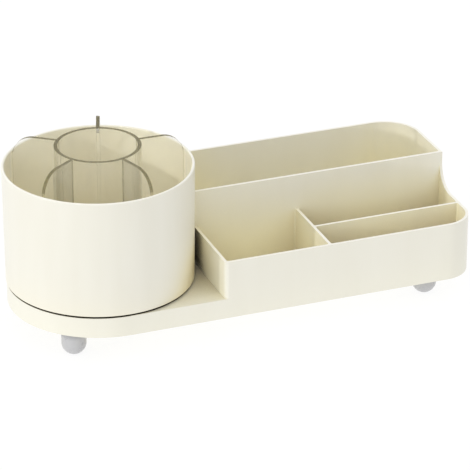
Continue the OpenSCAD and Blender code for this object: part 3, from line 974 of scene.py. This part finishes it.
class HOLDER_OT_cup(bpy.types.Operator):
    """Model the cup: tapered wall, round rim, raised floor and hub"""

    bl_idname = "holder.cup"
    bl_label = "Cup"

    def execute(self, context):
        s = context.scene.holder_cup
        insert = context.scene.holder_insert
        axis = cup_axis
        rim_r = (cup_high.x - cup_low.x) / 2
        bottom = race_low.z + context.scene.holder_tray.well + s.gap
        rim = cup_high.z
        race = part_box("upper_race")
        race_out = race[1].x - axis.x
        race_in = s.race_bore
        under = race[1].z
        floor = insert_low.z
        cap_r = cap_high.x - axis.x
        hub_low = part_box("pivot_bush")[0].z + s.flange
        hub_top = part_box("pivot_bush")[1].z
        spigot_r = insert.tube - insert.sheet - s.spigot_gap

        def inside(z):
            return rim_r - s.wall - s.taper * (rim - z) / (rim - bottom)

        def ring(inner, outer, low, high):
            return ((outer, low), (outer, high), (inner, high), (inner, low))

        seat_out = ring(race_out + s.seat_gap, race_out + s.seat_gap + s.seat_wall, under, under - s.seat)
        seat_in = ring(race_in - s.seat_gap - s.seat_wall, race_in - s.seat_gap, under, under - s.seat)
        profile = (
            (inside(bottom), bottom),
            (inside(bottom) + s.wall, bottom),
            (rim_r, rim),
            (rim_r - s.wall, rim),
            (inside(floor), floor),
            *ring(spigot_r - s.spigot_wall, spigot_r, floor, floor + s.spigot),
            (cap_r + s.seat_gap, floor),
            (cap_r + s.seat_gap, floor - s.cap),
            (s.hub_bore, floor - s.cap),
            (s.hub_bore, hub_top),
            (s.bush + s.seat_gap, hub_top),
            (s.bush + s.seat_gap, hub_low),
            (cap_r + s.hub_wall, hub_low),
            (cap_r + s.hub_wall, under),
            *reversed(seat_in),
            *reversed(seat_out),
            (inside(under), under),
        )
        cup = lathe("cup_shell", axis, profile)

        def beyond(radius):
            return lambda p: math.hypot(p.x - axis.x, p.y - axis.y) > radius

        round_edges(cup, s.wall * RIM_SHARE, WIDE_STEPS, level_at(rim))
        round_edges(cup, s.bottom_edge, FINE_STEPS, level_at(bottom))
        round_edges(cup, s.floor_edge, FILLET_STEPS, level_at(floor, beyond(race_out)))
        round_edges(cup, s.spigot_wall / 4, FINE_STEPS, level_at(floor + s.spigot))

        finish_piece(cup, "cup", "ivory_plastic", ivory_plastic("ivory_cup", "cup"), "rotating_cup")
        rims = add_finish(cup, ivory_plastic("ivory_cup_rim_highlight", "bore", rim=True))
        bore = add_finish(cup, ivory_plastic("ivory_bore_shading", "bore"))
        # Painted highlight on the rim, and painted shade and bounce light inside the cup.
        for face in cup.data.polygons:
            out = Vector((face.center.x - axis.x, face.center.y - axis.y, 0))
            if face.center.z > rim - s.wall / 2 and face.normal.z > TILT:
                face.material_index = rims
            elif face.center.z > floor - NEAR and (face.normal.z > FACING or face.normal.dot(out) < 0):
                face.material_index = bore
        return {"FINISHED"}


class HOLDER_OT_insert(bpy.types.Operator):
    """Model the clear divider: a tube with fins that reach the cup's wall"""

    bl_idname = "holder.insert"
    bl_label = "Clear divider"

    def execute(self, context):
        s = context.scene.holder_insert
        axis = cup_axis
        bottom, top = insert_low.z, insert_high.z
        half = s.sheet / 2

        def outer_top(edge):
            return all(abs(v.co.x - s.fin_reach) + abs(v.co.z - top) < NEAR for v in edge.verts)

        insert = add_drum("clear_insert", axis, s.tube, bottom, top, TUBE_STEPS)
        for i in range(s.fins):
            fin = add_block("fin", (s.tube - half, -half, bottom), (s.fin_reach, half, top))
            round_edges(fin, s.fin_corner, ARC_STEPS, outer_top)
            edit(fin, "FACE")
            bpy.ops.mesh.select_all(action="SELECT")
            bpy.ops.mesh.bisect(plane_co=(s.root, 0, 0), plane_no=(1, 0, 0))
            bpy.ops.object.mode_set(mode="OBJECT")
            angle = s.turn + i * 2 * math.pi / s.fins
            fin.data.transform(Matrix.Translation((axis.x, axis.y, 0)) @ Matrix.Rotation(angle, 4, "Z"))
            join(insert, fin)
        cut(insert, add_drum("tube_room", axis, s.tube - s.sheet, bottom - LAP, top + LAP, TUBE_STEPS))

        def polished(edge):
            return edge.is_convex and level_at(top)(edge)

        round_edges(insert, s.edge, FINE_STEPS, polished)
        finish = context.scene.holder_finish
        clear = clear_plastic("clear_plastic", finish.clear)
        finish_piece(insert, "divider", "clear_plastic", clear, "brush_divider")
        root = add_finish(insert, clear_plastic("clear_root_shade", finish.clear_root_shade))
        edges = add_finish(insert, clear_edge_shade())
        # Painted shade: olive on the upward edges, and a darker slant cast on the fins beside the tube.
        for face in insert.data.polygons:
            out = Vector((face.center.x - axis.x, face.center.y - axis.y, 0))
            beside = abs(face.normal.dot(out.normalized())) < TILT and s.tube < out.length < s.root
            if face.normal.z > EDGE_TILT:
                face.material_index = edges
            elif beside and abs(face.normal.z) < TILT:
                face.material_index = root
        return {"FINISHED"}


class HOLDER_OT_feet(bpy.types.Operator):
    """Model the soft domed feet"""

    bl_idname = "holder.feet"
    bl_label = "Feet"

    def execute(self, context):
        s = context.scene.holder_foot
        material = grey_silicone()
        for node in FEET:
            low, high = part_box(node)
            radius = (high.x - low.x) / 2
            waist = low.z + radius - s.flat
            foot = add_ball(node + "_soft", ((low.x + high.x) / 2, (low.y + high.y) / 2, waist), radius)
            trim(foot, low.z, -1)
            trim(foot, waist, 1)
            pick_faces(foot, lambda face: face.normal.z > UPWARD)
            bpy.ops.mesh.extrude_region_move(TRANSFORM_OT_translate={"value": (0, 0, high.z - waist)})
            bpy.ops.object.mode_set(mode="OBJECT")
            round_edges(foot, s.edge, EDGE_STEPS, level_at(high.z))
            round_edges(foot, s.edge, EDGE_STEPS, level_at(low.z))
            finish_piece(foot, "tray", "silicone", material, node)
        return {"FINISHED"}


class HOLDER_OT_works(bpy.types.Operator):
    """Finish the bearing, pivot and adhesive discs, which keep their own shapes"""

    bl_idname = "holder.works"
    bl_label = "Bearing and pivot"

    def execute(self, context):
        finishes = {
            # The other ivory parts take the painted shade and bounce light of the cup's inside.
            "ivory_plastic": lambda: ivory_plastic("ivory_bore_shading", "bore"),
            "track_plastic": track_plastic,
            "steel": plated_steel,
            "adhesive": foam_adhesive,
        }
        for part in frame["record"]["subparts"]:
            obj = frame["nodes"][part["node"]]
            slot = part["material_slot"]
            if slot in finishes and not obj.hide_render:
                obj.data.materials.clear()
                obj.data.materials.append(finishes[slot]())
        return {"FINISHED"}


def direction(turn, rise):
    """Direction to a place at an azimuth and an elevation."""
    flat = math.cos(rise)
    return Vector((math.sin(turn) * flat, -math.cos(turn) * flat, math.sin(rise)))


def look_back(obj, away):
    """Turns a light or the camera to look against a direction."""
    obj.rotation_euler = (-away).to_track_quat("-Z", "Y").to_euler()


class HOLDER_OT_stage(bpy.types.Operator):
    """Set the pale floor, the soft lights and the camera"""

    bl_idname = "holder.stage"
    bl_label = "Stage"

    def execute(self, context):
        scene = context.scene
        start_clean()
        bpy.ops.mesh.primitive_plane_add(size=FLOOR_SIZE, location=(0, 0, cad_low.z))
        floor = context.active_object
        floor.name = "studio_floor"
        settle(floor)
        floor.data.materials.append(studio_floor())

        world = bpy.data.worlds.new("studio_white")
        world.use_nodes = True
        back = world.node_tree.nodes["Background"]
        put(back, "Color", WHITE)
        put(back, "Strength", 0.82)
        scene.world = world

        for name, turn, rise, spread, power in LIGHTS:
            away = direction(math.radians(turn), math.radians(rise))
            bpy.ops.object.light_add(type="SUN", location=away)
            lamp = context.active_object
            lamp.name = name
            lamp.data.angle = math.radians(spread)
            lamp.data.energy = power
            look_back(lamp, away)

        s = scene.holder_camera
        away = direction(s.turn, s.rise)
        bpy.ops.object.camera_add(location=Vector(s.aim) + away * s.distance)
        camera = context.active_object
        camera.name = "photo_camera"
        look_back(camera, away)
        camera.data.sensor_width = SENSOR_WIDTH
        camera.data.lens = s.lens
        camera.data.clip_end = VIEW_END
        scene.camera = camera
        scene.view_settings.view_transform = "Standard"
        scene.cycles.max_bounces = 32
        scene.cycles.diffuse_bounces = 10
        scene.cycles.glossy_bounces = 16
        scene.cycles.transmission_bounces = 32
        scene.cycles.transparent_max_bounces = 32
        return {"FINISHED"}


class HOLDER_PT_panel(bpy.types.Panel):
    """Lists the holder's pieces and stage"""

    bl_label = "Brush holder"
    bl_idname = "HOLDER_PT_panel"
    bl_space_type = "VIEW_3D"
    bl_region_type = "UI"
    bl_category = "Brush holder"

    def draw(self, context):
        for step in STEPS:
            self.layout.operator(step.bl_idname)


STEPS = (HOLDER_OT_tray, HOLDER_OT_cup, HOLDER_OT_insert, HOLDER_OT_feet, HOLDER_OT_works, HOLDER_OT_stage)
GROUPS = {
    "holder_tray": TraySizes,
    "holder_cup": CupSizes,
    "holder_insert": InsertSizes,
    "holder_foot": FootSizes,
    "holder_finish": Finish,
    "holder_camera": CameraSizes,
}


def register():
    """Registers the sizes, steps and panel."""
    for name, group in GROUPS.items():
        bpy.utils.register_class(group)
        setattr(bpy.types.Scene, name, bpy.props.PointerProperty(type=group))
    for cls in (*STEPS, HOLDER_PT_panel):
        bpy.utils.register_class(cls)


def unregister():
    """Takes the sizes, steps and panel out again."""
    for cls in (HOLDER_PT_panel, *reversed(STEPS)):
        bpy.utils.unregister_class(cls)
    for name, group in GROUPS.items():
        delattr(bpy.types.Scene, name)
        bpy.utils.unregister_class(group)


def main():
    """Makes every piece and the stage."""
    register()
    bpy.ops.holder.tray()
    bpy.ops.holder.cup()
    bpy.ops.holder.insert()
    bpy.ops.holder.feet()
    bpy.ops.holder.works()
    bpy.ops.holder.stage()
    start_clean()


if __name__ == "__main__":
    main()
